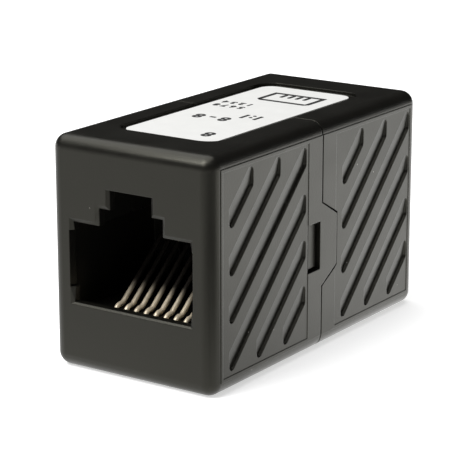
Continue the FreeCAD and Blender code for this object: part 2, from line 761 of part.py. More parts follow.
def contact(doc, table, side, number, rotation):
    """One spring contact: wire swept along its bent middle line."""
    body = new_body(doc, "%s_contact_%d" % (side, number), rotation)
    across = table["contact_pitch"] * (number - (CONTACT_COUNT + 1) / 2)
    outward = 1 if rotation == NO_TURN else -1
    bind(body, "Placement.Base.x", across * outward)
    tail_height = tail_heights(table)[number % 2]
    corners = contact_corners(table, tail_height)
    path = plane_sketch(body, "Path", "YZ_Plane")
    draw_rounded_path(path, corners, table["bend_radius"])
    section = plane_sketch(body, "Section", "XZ_Plane", -corners[0][0])
    flat = table["wire_width"] / 2
    draw_polygon(section, rectangle(-flat, tail_height - flat, flat, tail_height + flat))
    doc.recompute()
    wire = body.newObject("PartDesign::AdditivePipe", "Wire")
    wire.Profile = section
    wire.Spine = (path, ["Edge%d" % (edge + 1) for edge in range(len(path.Shape.Edges))])
    doc.recompute()
    return body


# ------------------------------------------------------------------ assembly

def build(doc):
    """Make every sub-part of the coupler."""
    table = make_sheet(doc)
    parts = [label(doc, table), circuit_board(doc, table)]
    for side, rotation in (("front", NO_TURN), ("rear", HALF_TURN)):
        parts.append(half_case(doc, table, side + "_shell", rotation))
        parts.append(contact_block(doc, table, side + "_contact_block", rotation))
        for number in range(1, CONTACT_COUNT + 1):
            parts.append(contact(doc, table, side, number, rotation))
    doc.recompute()
    return parts


def check(doc, parts):
    """Stop if any object failed or any sub-part is not one valid solid."""
    for item in doc.Objects:
        if "Invalid" in item.State or "Error" in item.State:
            raise RuntimeError("%s failed: %s" % (item.Label, item.State))
    for part in parts:
        if part.Shape.isNull() or not part.Shape.isValid() or len(part.Shape.Solids) != 1:
            raise RuntimeError("%s is not one valid solid" % part.Label)


def write(parts):
    """Write each sub-part to a file named after its label."""
    os.makedirs("parts", exist_ok=True)
    for part in parts:
        part.Shape.exportStep(os.path.join("parts", part.Label + ".step"))
        box = part.Shape.BoundBox
        print("%-20s X %7.2f %7.2f  Y %7.2f %7.2f  Z %6.2f %6.2f  volume %8.2f" % (
            part.Label, box.XMin, box.XMax, box.YMin, box.YMax, box.ZMin, box.ZMax,
            part.Shape.Volume))


def main():
    """Build the coupler, check it and write its sub-parts."""
    doc = FreeCAD.newDocument("rj45_inline_coupler")
    parts = build(doc)
    check(doc, parts)
    write(parts)


main()
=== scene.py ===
"""Looks of an inline coupler for network plugs: two black moulded half cases, white label,
gold spring wires and a green circuit board. Run as a script; nothing has to be installed."""

import json
import math

import bpy
from mathutils import Matrix, Vector

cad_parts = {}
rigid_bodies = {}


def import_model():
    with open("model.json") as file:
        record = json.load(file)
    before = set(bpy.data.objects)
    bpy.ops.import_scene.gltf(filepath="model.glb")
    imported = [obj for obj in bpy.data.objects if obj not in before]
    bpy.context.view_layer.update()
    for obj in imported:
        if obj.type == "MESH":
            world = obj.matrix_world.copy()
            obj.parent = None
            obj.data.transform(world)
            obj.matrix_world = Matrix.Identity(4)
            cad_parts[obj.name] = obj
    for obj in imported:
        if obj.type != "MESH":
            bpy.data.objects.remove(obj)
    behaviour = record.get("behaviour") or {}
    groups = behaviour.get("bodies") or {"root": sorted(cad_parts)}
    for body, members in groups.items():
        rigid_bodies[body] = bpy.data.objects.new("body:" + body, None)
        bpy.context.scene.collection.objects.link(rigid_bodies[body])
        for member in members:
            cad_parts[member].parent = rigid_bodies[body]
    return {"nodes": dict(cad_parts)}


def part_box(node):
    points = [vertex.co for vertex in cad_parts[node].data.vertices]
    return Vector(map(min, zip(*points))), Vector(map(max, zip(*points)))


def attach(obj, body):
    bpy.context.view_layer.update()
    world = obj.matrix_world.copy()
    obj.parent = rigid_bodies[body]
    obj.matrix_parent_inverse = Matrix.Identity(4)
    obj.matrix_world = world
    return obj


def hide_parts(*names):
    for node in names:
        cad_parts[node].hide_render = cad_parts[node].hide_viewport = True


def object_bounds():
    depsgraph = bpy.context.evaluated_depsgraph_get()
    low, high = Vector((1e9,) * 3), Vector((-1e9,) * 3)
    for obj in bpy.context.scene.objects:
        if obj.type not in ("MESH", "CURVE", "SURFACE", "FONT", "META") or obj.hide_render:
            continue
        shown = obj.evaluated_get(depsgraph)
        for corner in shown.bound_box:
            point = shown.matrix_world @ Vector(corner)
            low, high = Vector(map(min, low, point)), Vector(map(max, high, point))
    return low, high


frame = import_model()
case_low, case_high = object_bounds()

bl_info = {
    "name": "Inline coupler looks",
    "version": (1, 0, 0),
    "blender": (4, 5, 0),
    "location": "3D View > Sidebar > Coupler",
    "description": "Finishes, contact wires, label print and studio of an inline network coupler",
    "category": "Object",
}

MM = 0.001
BODY = "root"
SIDES = ("front", "rear")
CONTACT_COUNT = 8


# ------------------------------------------------------------------ sizes and colours

class CasePlastic(bpy.types.PropertyGroup):
    """Black plastic of the half cases and the contact blocks."""

    colour: bpy.props.FloatVectorProperty(
        name="Colour", description="Colour of the moulded plastic", subtype="COLOR", size=3,
        min=0, max=1, default=(0.0058, 0.0055, 0.0047))
    roughness: bpy.props.FloatProperty(
        name="Roughness", description="How satin the moulded faces are",
        min=0, max=1, default=0.34, subtype="FACTOR")
    grain_size: bpy.props.FloatProperty(
        name="Grain size", description="Size of one grain of the spark-eroded texture",
        default=0.16 * MM, unit="LENGTH")
    grain_height: bpy.props.FloatProperty(
        name="Grain height", description="Height of the spark-eroded texture",
        default=0.006 * MM, unit="LENGTH")
    edge_radius: bpy.props.FloatProperty(
        name="Edge radius", description="Rounding that light catches on sharp moulded edges",
        default=0.11 * MM, unit="LENGTH")


class CaseForm(bpy.types.PropertyGroup):
    """Finished form of the half cases' mouths, grip recesses and seam."""

    lead_in: bpy.props.FloatProperty(
        name="Lead-in depth", description="Depth of the bevel that guides the plug",
        default=0.32 * MM, unit="LENGTH")
    ceiling_lead_in: bpy.props.FloatProperty(
        name="Ceiling lead-in", description="Depth of the bevel under the mouth's steps",
        default=0.2 * MM, unit="LENGTH")
    sill_bevel: bpy.props.FloatProperty(
        name="Sill bevel", description="Depth of the bevel along the mouth's sill",
        default=0.17 * MM, unit="LENGTH")
    wall: bpy.props.FloatProperty(
        name="Front wall", description="Wall that the mouth is cut in",
        default=0.86 * MM, unit="LENGTH")
    field_sink: bpy.props.FloatProperty(
        name="Field sink", description="Grip field below the case's widest faces",
        default=0.04 * MM, unit="LENGTH")
    field_edge: bpy.props.FloatProperty(
        name="Field edge", description="Grip field's edges from the case's outer faces",
        default=1.4 * MM, unit="LENGTH")
    field_land: bpy.props.FloatProperty(
        name="Field land", description="Plain case between the seam and the grip recesses",
        default=2.45 * MM, unit="LENGTH")
    plain_depth: bpy.props.FloatProperty(
        name="Plain depth", description="Depth of the plain solid's recesses at their walls",
        default=0.6 * MM, unit="LENGTH")
    plain_run_out: bpy.props.FloatProperty(
        name="Plain run-out", description="Depth of the plain solid's recesses far from the wall",
        default=0.416 * MM, unit="LENGTH")
    recess_depth: bpy.props.FloatProperty(
        name="Recess depth", description="Depth of a grip recess at its wall",
        default=0.27 * MM, unit="LENGTH")
    run_out: bpy.props.FloatProperty(
        name="Run-out", description="Depth of a grip recess at the edge where it runs out",
        default=0.015 * MM, unit="LENGTH")
    lip_inset: bpy.props.FloatProperty(
        name="Lip inset", description="Depth of the open groove outside each lip",
        default=0.5 * MM, unit="LENGTH")
    lip_height: bpy.props.FloatProperty(
        name="Lip height", description="Height of the lip in the top or bottom wall",
        default=1.0 * MM, unit="LENGTH")
    lip_thickness: bpy.props.FloatProperty(
        name="Lip thickness", description="Thickness of a lip, which fills the seam",
        default=0.16 * MM, unit="LENGTH")


class ContactWire(bpy.types.PropertyGroup):
    """Gold-plated spring wires."""

    width: bpy.props.FloatProperty(
        name="Wire diameter", description="Diameter of the round spring wire",
        default=0.44 * MM, unit="LENGTH")
    bend_radius: bpy.props.FloatProperty(
        name="Bend radius", description="Radius of the wire's middle line in its bends",
        default=0.6 * MM, unit="LENGTH")
    bend_rise: bpy.props.FloatProperty(
        name="Front bend rise", description="Rise of the wire in its front bend",
        default=1.45 * MM, unit="LENGTH")
    slope_start: bpy.props.FloatProperty(
        name="Slope start", description="From the front bend back to the start of the slope",
        default=0.95 * MM, unit="LENGTH")
    slope: bpy.props.FloatProperty(
        name="Slope", description="Angle of the sprung length above level",
        default=math.radians(39), subtype="ANGLE")
    tail_straight: bpy.props.FloatProperty(
        name="Straight tail", description="Straight run of a tail before the circuit board",
        default=0.75 * MM, unit="LENGTH")
    plating: bpy.props.FloatVectorProperty(
        name="Plating", description="Colour of the gold plating", subtype="COLOR", size=3,
        min=0, max=1, default=(1.0, 0.87, 0.65))
    # Painted shade, not plating: these three values darken the wires from the plating colour to this
    # nearly black colour, between these two distances from the seam, where the socket's shade falls.
    bare: bpy.props.FloatVectorProperty(
        name="Bare metal", description="Colour of the wire behind its plated zone",
        subtype="COLOR", size=3, min=0, max=1, default=(0.03, 0.025, 0.02))
    plated_from: bpy.props.FloatProperty(
        name="Plated from", description="Distance from the seam at which full plating starts",
        default=12.1 * MM, unit="LENGTH")
    plated_to: bpy.props.FloatProperty(
        name="Plated to", description="Distance from the seam at which the plating has ended",
        default=10.8 * MM, unit="LENGTH")


class LabelPrint(bpy.types.PropertyGroup):
    """Label stock and its plain black print."""

    paper: bpy.props.FloatVectorProperty(
        name="Paper", description="Colour of the label stock", subtype="COLOR", size=3,
        min=0, max=1, default=(0.86, 0.86, 0.84))
    ink: bpy.props.FloatVectorProperty(
        name="Ink", description="Colour of the print", subtype="COLOR", size=3,
        min=0, max=1, default=(0.018, 0.018, 0.018))
    ink_height: bpy.props.FloatProperty(
        name="Ink height", description="Thickness of the print",
        default=0.04 * MM, unit="LENGTH")
    line: bpy.props.FloatProperty(
        name="Line width", description="Width of the socket symbol's lines",
        default=0.4 * MM, unit="LENGTH")


class Studio(bpy.types.PropertyGroup):
    """Floor, soft lights and camera."""

    floor_size: bpy.props.FloatProperty(
        name="Floor size", description="Side of the floor", default=4.0, unit="LENGTH")
    floor_colour: bpy.props.FloatVectorProperty(
        name="Floor colour", description="Colour of the pale floor", subtype="COLOR", size=3,
        min=0, max=1, default=(0.9, 0.9, 0.9))
    floor_glow: bpy.props.FloatProperty(
        name="Floor glow", description="Light that the lit-from-below floor gives off",
        min=0, max=5, default=0.55)
    # Painted reflection: brightness that only reflections see in the floor, before and behind the
    # coupler.
    front_shine: bpy.props.FloatProperty(
        name="Front shine", description="Brightness in reflections of the floor before the coupler",
        min=0, max=5, default=1.02)
    side_shine: bpy.props.FloatProperty(
        name="Side shine", description="Brightness in reflections of the floor behind the coupler",
        min=0, max=5, default=2.1)
    azimuth: bpy.props.FloatProperty(
        name="Azimuth", description="Camera's turn round the coupler",
        default=math.radians(34.2011), subtype="ANGLE")
    elevation: bpy.props.FloatProperty(
        name="Elevation", description="Camera's height above level",
        default=math.radians(15.6178), subtype="ANGLE")
    distance: bpy.props.FloatProperty(
        name="Distance", description="Camera's distance from the coupler",
        default=176.47 * MM, unit="LENGTH")
    lens: bpy.props.FloatProperty(
        name="Lens", description="Focal length in millimetres", default=154.56)


GROUPS = (("case_form", CaseForm), ("case_plastic", CasePlastic),
          ("contact_wire", ContactWire), ("label_print", LabelPrint), ("studio", Studio))


# ------------------------------------------------------------------ shared node groups

def add_node(tree, kind, **settings):
    """New node of a kind; a setting whose name is an input fills that input."""
    node = tree.nodes.new(kind)
    for key, value in settings.items():
        if hasattr(node, key):
            setattr(node, key, value)
        else:
            node.inputs[key.replace("_", " ")].default_value = value
    return node


def new_group(name, inputs, outputs):
    """Empty node group with named inputs and outputs, and its two end nodes."""
    group = bpy.data.node_groups.new(name, "ShaderNodeTree")
    for label, kind, value in inputs:
        socket = group.interface.new_socket(name=label, in_out="INPUT", socket_type=kind)
        if value is not None:
            socket.default_value = value
    for label, kind in outputs:
        group.interface.new_socket(name=label, in_out="OUTPUT", socket_type=kind)
    return group, group.nodes.new("NodeGroupInput"), group.nodes.new("NodeGroupOutput")


def place_group(tree, group, **values):
    """Node group placed in a material with its own values."""
    node = tree.nodes.new("ShaderNodeGroup")
    node.node_tree = group
    for key, value in values.items():
        node.inputs[key.replace("_", " ")].default_value = value
    return node


def moulded_grain():
    """Spark-eroded texture of a moulded face: its height, and a slow cloud for the colour."""
    group, inlet, outlet = new_group(
        "moulded_grain",
        [("Position", "NodeSocketVector", None), ("Grains per metre", "NodeSocketFloat", 6000.0),
         ("Cloud scale", "NodeSocketFloat", 320.0)],
        [("Height", "NodeSocketFloat"), ("Cloud", "NodeSocketFloat")])
    link = group.links.new
    fine = add_node(group, "ShaderNodeTexNoise", Detail=2.0, Roughness=0.6)
    coarse = add_node(group, "ShaderNodeTexVoronoi", feature="SMOOTH_F1")
    cloud = add_node(group, "ShaderNodeTexNoise", Detail=3.0, Roughness=0.55)
    mix = add_node(group, "ShaderNodeMath", operation="MULTIPLY_ADD")
    mix.inputs[1].default_value = 0.5
    link(inlet.outputs["Position"], fine.inputs["Vector"])
    link(inlet.outputs["Position"], coarse.inputs["Vector"])
    link(inlet.outputs["Position"], cloud.inputs["Vector"])
    link(inlet.outputs["Grains per metre"], fine.inputs["Scale"])
    link(inlet.outputs["Grains per metre"], coarse.inputs["Scale"])
    link(inlet.outputs["Cloud scale"], cloud.inputs["Scale"])
    link(coarse.outputs["Distance"], mix.inputs[0])
    link(fine.outputs["Fac"], mix.inputs[2])
    link(mix.outputs[0], outlet.inputs["Height"])
    link(cloud.outputs["Fac"], outlet.inputs["Cloud"])
    return group


def dust_specks():
    """Sparse tiny specks of dust: 1 on a speck, 0 elsewhere."""
    group, inlet, outlet = new_group(
        "dust_specks",
        [("Position", "NodeSocketVector", None), ("Specks per metre", "NodeSocketFloat", 420.0),
         ("Speck size", "NodeSocketFloat", 0.028), ("Amount", "NodeSocketFloat", 0.45)],
        [("Mask", "NodeSocketFloat")])
    link = group.links.new
    cells = add_node(group, "ShaderNodeTexVoronoi", feature="F1")
    near = add_node(group, "ShaderNodeMath", operation="LESS_THAN")
    split = group.nodes.new("ShaderNodeSeparateColor")
    chosen = add_node(group, "ShaderNodeMath", operation="LESS_THAN")
    both = add_node(group, "ShaderNodeMath", operation="MULTIPLY")
    link(inlet.outputs["Position"], cells.inputs["Vector"])
    link(inlet.outputs["Specks per metre"], cells.inputs["Scale"])
    link(cells.outputs["Distance"], near.inputs[0])
    link(inlet.outputs["Speck size"], near.inputs[1])
    link(cells.outputs["Color"], split.inputs[0])
    link(split.outputs[0], chosen.inputs[0])
    link(inlet.outputs["Amount"], chosen.inputs[1])
    link(near.outputs[0], both.inputs[0])
    link(chosen.outputs[0], both.inputs[1])
    link(both.outputs[0], outlet.inputs["Mask"])
    return group


def shared_group(maker):
    """The node group of a maker function, built once."""
    found = bpy.data.node_groups.get(maker.__name__)
    return found or maker()


# ------------------------------------------------------------------ materials

DUST_COLOUR = (0.2, 0.195, 0.18)
PLASTIC_TINTS = (0.85, 1.2)         # shares of the plastic's colour that it drifts between
PLASTIC_SHEEN = (-0.06, 0.09)       # and what its roughness drifts by
MASK_COLOURS = ((0.012, 0.085, 0.03), (0.02, 0.15, 0.055))


def new_material(name):
    """Material with its node tree, its shader and object-space position."""
    material = bpy.data.materials.new(name)
    material.use_nodes = True
    tree = material.node_tree
    shader = tree.nodes["Principled BSDF"]
    position = tree.nodes.new("ShaderNodeTexCoord")
    return material, tree, shader, position.outputs["Object"]


def between(tree, amount, low, high):
    """Colour from low to high, as an amount goes from 0 to 1."""
    mix = add_node(tree, "ShaderNodeMix", data_type="RGBA")
    mix.inputs[6].default_value = (*low, 1)
    mix.inputs[7].default_value = (*high, 1)
    tree.links.new(amount, mix.inputs[0])
    return mix.outputs[2]


def vary_roughness(tree, shader, amount, low, high):
    """Let the roughness go from low to high, as an amount goes from 0 to 1."""
    rough = add_node(tree, "ShaderNodeMapRange")
    rough.inputs["To Min"].default_value = low
    rough.inputs["To Max"].default_value = high
    tree.links.new(amount, rough.inputs["Value"])
    tree.links.new(rough.outputs["Result"], shader.inputs["Roughness"])


def raise_surface(tree, shader, height, strength, distance):
    """Bump from a height between 0 and 1; gives back its node."""
    bump = add_node(tree, "ShaderNodeBump", Strength=strength, Distance=distance)
    tree.links.new(height, bump.inputs["Height"])
    tree.links.new(bump.outputs["Normal"], shader.inputs["Normal"])
    return bump


def black_plastic(name, settings, gloss=0.0, grain=1.0):
    """Satin black moulded plastic with fine grain, slow colour drift and a little dust."""
    material, tree, shader, position = new_material(name)
    link = tree.links.new
    texture = place_group(tree, shared_group(moulded_grain),
                          Grains_per_metre=1 / settings.grain_size)
    dust = place_group(tree, shared_group(dust_specks))
    link(position, texture.inputs["Position"])
    link(position, dust.inputs["Position"])
    cloud = texture.outputs["Cloud"]
    colour = Vector(settings.colour)
    dusty = add_node(tree, "ShaderNodeMix", data_type="RGBA")
    dusty.inputs[7].default_value = (*DUST_COLOUR, 1)
    link(dust.outputs["Mask"], dusty.inputs[0])
    darkest, palest = (colour * share for share in PLASTIC_TINTS)
    link(between(tree, cloud, darkest, palest), dusty.inputs[6])
    link(dusty.outputs[2], shader.inputs["Base Color"])
    middle = settings.roughness - gloss
    vary_roughness(tree, shader, cloud, *(middle + drift for drift in PLASTIC_SHEEN))
    rounded = add_node(tree, "ShaderNodeBevel", samples=6, Radius=settings.edge_radius)
    bump = raise_surface(tree, shader, texture.outputs["Height"], grain, settings.grain_height)
    link(rounded.outputs["Normal"], bump.inputs["Normal"])
    shader.inputs["IOR"].default_value = 1.5
    shader.inputs["Specular Tint"].default_value = (1.0, 0.98, 0.83, 1)
    return material


def gold_plating(settings):
    """Pale gold near the mouth, with painted shade that darkens the wires to nearly black further in.
    """
    material, tree, shader, position = new_material("gold_plating")
    link = tree.links.new
    shader.inputs["Metallic"].default_value = 0.35
    cloud = add_node(tree, "ShaderNodeTexNoise", Scale=1800.0, Detail=2.0)
    link(position, cloud.inputs["Vector"])
    plated = between(tree, cloud.outputs["Fac"], Vector(settings.plating) * 0.9,
                     settings.plating)
    # Painted shade: the wires go from gold to nearly black with their distance into the socket,
    # standing in for the shade inside the mouth.
    across = tree.nodes.new("ShaderNodeSeparateXYZ")
    depth = add_node(tree, "ShaderNodeMath", operation="ABSOLUTE")
    shade_fade = add_node(tree, "ShaderNodeMapRange", interpolation_type="SMOOTHSTEP")
    shade_fade.inputs["From Min"].default_value = settings.plated_to
    shade_fade.inputs["From Max"].default_value = settings.plated_from
    shaded_gold = add_node(tree, "ShaderNodeMix", data_type="RGBA")
    shaded_gold.inputs[6].default_value = (*settings.bare, 1)
    link(position, across.inputs[0])
    link(across.outputs["Y"], depth.inputs[0])
    link(depth.outputs[0], shade_fade.inputs["Value"])
    link(shade_fade.outputs["Result"], shaded_gold.inputs[0])
    link(plated, shaded_gold.inputs[7])
    link(shaded_gold.outputs[2], shader.inputs["Base Color"])
    vary_roughness(tree, shader, cloud.outputs["Fac"], 0.36, 0.42)
    raise_surface(tree, shader, cloud.outputs["Fac"], 0.1, 0.004 * MM)
    return material


def label_stock(settings):
    """White coated label stock with faint fibre clouds."""
    material, tree, shader, position = new_material("label_stock")
    link = tree.links.new
    fibre = add_node(tree, "ShaderNodeTexNoise", Scale=700.0, Detail=5.0, Roughness=0.6)
    link(position, fibre.inputs["Vector"])
    clouds = fibre.outputs["Fac"]
    link(between(tree, clouds, Vector(settings.paper) * 0.95, settings.paper),
         shader.inputs["Base Color"])
    vary_roughness(tree, shader, clouds, 0.34, 0.46)
    raise_surface(tree, shader, clouds, 0.25, 0.01 * MM)
    return material


def print_ink(settings):
    """Black print, a little uneven in its covering."""
    material, tree, shader, position = new_material("print_ink")
    link = tree.links.new
    cover = add_node(tree, "ShaderNodeTexNoise", Scale=4000.0, Detail=2.0)
    link(position, cover.inputs["Vector"])
    thinner = Vector(settings.ink) * 2.4
    link(between(tree, cover.outputs["Fac"], settings.ink, thinner),
         shader.inputs["Base Color"])
    vary_roughness(tree, shader, cover.outputs["Fac"], 0.4, 0.55)
    return material


def solder_mask():
    """Green solder mask over glass fibre with the weave showing through."""
    material, tree, shader, position = new_material("solder_mask")
    link = tree.links.new
    weave = add_node(tree, "ShaderNodeTexChecker", Scale=2200.0)
    cloud = add_node(tree, "ShaderNodeTexNoise", Scale=500.0, Detail=4.0)
    link(position, weave.inputs["Vector"])
    link(position, cloud.inputs["Vector"])
    link(between(tree, cloud.outputs["Fac"], *MASK_COLOURS), shader.inputs["Base Color"])
    vary_roughness(tree, shader, cloud.outputs["Fac"], 0.22, 0.4)
    raise_surface(tree, shader, weave.outputs["Fac"], 0.4, 0.01 * MM)
    return material


def dress(piece, material):
    """Give every material slot of a piece the one material."""
    if piece.material_slots:
        for slot in piece.material_slots:
            slot.material = material
    else:
        piece.data.materials.append(material)


# ------------------------------------------------------------------ modelling helpers

SAME_PLACE = 0.002 * MM      # vertices this near to each other are merged
SQUARE_TO_AXIS = 0.9999      # a face is square to an axis from this part of its normal on
BAR_CORNER = 0.25            # a bar's corner cut, as a share of its narrow side


def start_fresh():
    """Leave edit mode and deselect everything."""
    if bpy.context.object and bpy.context.object.mode != "OBJECT":
        bpy.ops.object.mode_set(mode="OBJECT")
    bpy.ops.object.select_all(action="DESELECT")


def only(piece):
    """Make a piece the active and only selected one."""
    start_fresh()
    piece.select_set(True)
    bpy.context.view_layer.objects.active = piece


def settle(piece, name):
    """Name a finished piece and put its place into its mesh."""
    only(piece)
    bpy.ops.object.transform_apply(location=True, rotation=True, scale=True)
    piece.name = name
    piece.data.name = name
    return piece


def face_outwards(piece):
    """Merge doubles and turn all faces outwards."""
    only(piece)
    bpy.ops.object.mode_set(mode="EDIT")
    bpy.ops.mesh.select_all(action="SELECT")
    bpy.ops.mesh.remove_doubles(threshold=SAME_PLACE)
    bpy.ops.mesh.normals_make_consistent(inside=False)
    bpy.ops.object.mode_set(mode="OBJECT")


def smooth_curves(piece, angle):
    """Shade curved faces smooth and leave the faces square to an axis flat."""
    only(piece)
    bpy.ops.object.shade_smooth_by_angle(angle=angle)
    for face in piece.data.polygons:
        if max(abs(part) for part in face.normal) > SQUARE_TO_AXIS:
            face.use_smooth = False


def copy_of(piece, name, turn=Matrix.Identity(4)):
    """Copy of a piece with its own mesh, moved by a matrix that ends up in the mesh."""
    twin = piece.copy()
    twin.data = piece.data.copy()
    bpy.context.scene.collection.objects.link(twin)
    twin.matrix_world = turn @ piece.matrix_world
    return settle(twin, name)


def rounded_bar(width, length, place, height):
    """Flat bar with slightly rounded corners."""
    start_fresh()
    bpy.ops.mesh.primitive_plane_add(size=1, location=place)
    bar = bpy.context.object
    bar.scale = (width, length, 1)
    bpy.ops.object.transform_apply(location=False, rotation=False, scale=True)
    bpy.ops.object.mode_set(mode="EDIT")
    bpy.ops.mesh.select_all(action="SELECT")
    bpy.ops.mesh.bevel(offset=min(width, length) * BAR_CORNER, segments=3, affect="VERTICES")
    bpy.ops.mesh.select_all(action="SELECT")
    bpy.ops.mesh.extrude_region_move(TRANSFORM_OT_translate={"value": (0, 0, height)})
    bpy.ops.object.mode_set(mode="OBJECT")
    return bar


# ------------------------------------------------------------------ contact wires

WIRE_SIDES = 12
BEND_STEP = 12              # degrees of a bend in one of its steps
WIRE_SMOOTH = math.radians(40)
RIM_REACH = 0.52            # the rim is this share of the diameter from the wire's end
RIM_BEVEL = 0.18


def bend_wire(run_points, radius, width):
    """Round wire through corner points in the YZ plane: straight pulls and spun bends.
    Spin turns clockwise about its axis, so the axis is reversed."""
    start_fresh()
    first = run_points[0]
    bpy.ops.mesh.primitive_circle_add(
        vertices=WIRE_SIDES, radius=width / 2, fill_type="NGON", location=first,
        rotation=(math.pi / 2, 0, 0))
    wire = bpy.context.object
    bpy.ops.object.mode_set(mode="EDIT")
    bpy.ops.mesh.select_all(action="SELECT")
    here = Vector(first)
    for index in range(1, len(run_points)):
        corner = Vector(run_points[index])
        ahead = (corner - Vector(run_points[index - 1])).normalized()
        if index == len(run_points) - 1:
            bpy.ops.mesh.extrude_region_move(
                TRANSFORM_OT_translate={"value": corner - here})
            break
        onward = (Vector(run_points[index + 1]) - corner).normalized()
        turn = ahead.angle(onward)
        trim = radius * math.tan(turn / 2)
        stop = corner - ahead * trim
        bpy.ops.mesh.extrude_region_move(TRANSFORM_OT_translate={"value": stop - here})
        side = ahead.cross(onward).normalized()
        centre = stop + side.cross(ahead) * radius
        steps = max(2, round(math.degrees(turn) / BEND_STEP))
        bpy.ops.mesh.spin(steps=steps, angle=turn, center=centre, axis=-side)
        here = corner + onward * trim
    bpy.ops.object.mode_set(mode="OBJECT")
    return wire


def round_wire_end(wire, place, width):
    """Bevel the rim of the wire's free end."""
    only(wire)
    bpy.ops.object.mode_set(mode="EDIT")
    bpy.ops.mesh.select_mode(type="EDGE")
    bpy.ops.mesh.select_all(action="DESELECT")
    bpy.ops.object.mode_set(mode="OBJECT")
    mesh = wire.data
    world = wire.matrix_world
    for edge in mesh.edges:
        ends = [world @ mesh.vertices[v].co for v in edge.vertices]
        edge.select = all((end - place).length < width * RIM_REACH for end in ends)
    bpy.ops.object.mode_set(mode="EDIT")
    bpy.ops.mesh.bevel(offset=width * RIM_BEVEL, segments=2, affect="EDGES")
    bpy.ops.object.mode_set(mode="OBJECT")


def wire_points(node, settings):
    """Corner points of a front contact's middle line, from its tail to its free end."""
    low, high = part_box(node)
    half = (high.x - low.x) / 2
    x = (low.x + high.x) / 2
    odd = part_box("front_contact_1")
    run = odd[0].z + half
    even_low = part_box("front_contact_2")[0].z + half
    drop = run - even_low
    tail = run - drop if low.z < odd[0].z - half / 2 else run + drop
    bend = low.y + half
    top = run + settings.bend_rise
    slope = bend + settings.slope_start
    tip_z = high.z - half * math.cos(settings.slope)
    tip_y = slope + (tip_z - top) / math.tan(settings.slope)
    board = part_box("circuit_board")
    tail_start = board[0].y - settings.tail_straight
    joggle = tail_start - drop
    return [Vector(place) for place in (
        (x, high.y, tail), (x, tail_start, tail), (x, joggle, run), (x, bend, run),
        (x, bend, top), (x, slope, top), (x, tip_y, tip_z))]


class COUPLER_OT_contact_wires(bpy.types.Operator):
    """Bend the sixteen round gold-plated spring wires"""

    bl_idname = "coupler.contact_wires"
    bl_label = "Contact wires"

    def execute(self, context):
        settings = context.scene.contact_wire
        gold = gold_plating(settings)
        patterns = {}
        for parity, node in ((1, "front_contact_1"), (0, "front_contact_2")):
            points = wire_points(node, settings)
            wire = bend_wire(points, settings.bend_radius, settings.width)
            round_wire_end(wire, points[-1], settings.width)
            settle(wire, "wire_pattern_%d" % parity)
            face_outwards(wire)
            only(wire)
            bpy.ops.object.shade_smooth_by_angle(angle=WIRE_SMOOTH)
            dress(wire, gold)
            patterns[parity] = (wire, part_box(node)[0])
        for number in range(1, CONTACT_COUNT + 1):
            wire, low = patterns[number % 2]
            own_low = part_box("front_contact_%d" % number)[0]
            shift = Matrix.Translation((own_low.x - low.x, 0, 0))
            for side in SIDES:
                node = "%s_contact_%d" % (side, number)
                turn = Matrix.Rotation(math.pi, 4, "Z") if side == "rear" else Matrix()
                piece = copy_of(wire, "%s_spring_wire_%d" % (side, number), turn @ shift)
                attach(piece, BODY)
                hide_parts(node)
        for wire, _ in patterns.values():
            bpy.data.objects.remove(wire)
        return {"FINISHED"}


# ------------------------------------------------------------------ label print

# Each number's text, its size, and its place from the label's middle, in millimetres.
NUMBERS = (
    ("1 2 3 4", 1.1, -2.3, 2.9),
    ("5 6 7 8", 1.1, -2.3, 1.5),
    ("1:1", 1.9, 1.9, -1.2),
    ("8 - 8", 1.9, -0.9, -3.1),
    ("8", 2.0, 2.6, -8.6),
)
SYMBOL_PLACE = (0.6, 7.2)
SYMBOL_WIDTH = 5.4
SYMBOL_RISE = 0.56          # the symbol's height and steps are shares of its width
SYMBOL_STEP = 0.13
SYMBOL_NARROWING = (0.58, 0.66)
BAR_COUNT = 4
BAR_PITCH = 0.8
BAR_SIZE = (0.34, 1.1)
BAR_START = (-0.6, 7.7)
LETTER_WEIGHT = 0.025       # thickening of the letters, as a share of their size
INK_SUNK = 0.3              # share of the print's thickness that lies in the label


def lettering(text, size, place, height):
    """Plain numbers on the label, read from the rear end."""
    start_fresh()
    bpy.ops.object.text_add(location=place, rotation=(0, 0, math.pi))
    words = bpy.context.object
    words.location.z += height / 2
    words.data.body = text
    words.data.size = size
    words.data.align_x = "CENTER"
    words.data.align_y = "CENTER"
    words.data.extrude = height / 2
    words.data.offset = size * LETTER_WEIGHT
    words.data.resolution_u = 3
    bpy.ops.object.convert(target="MESH")
    return bpy.context.object


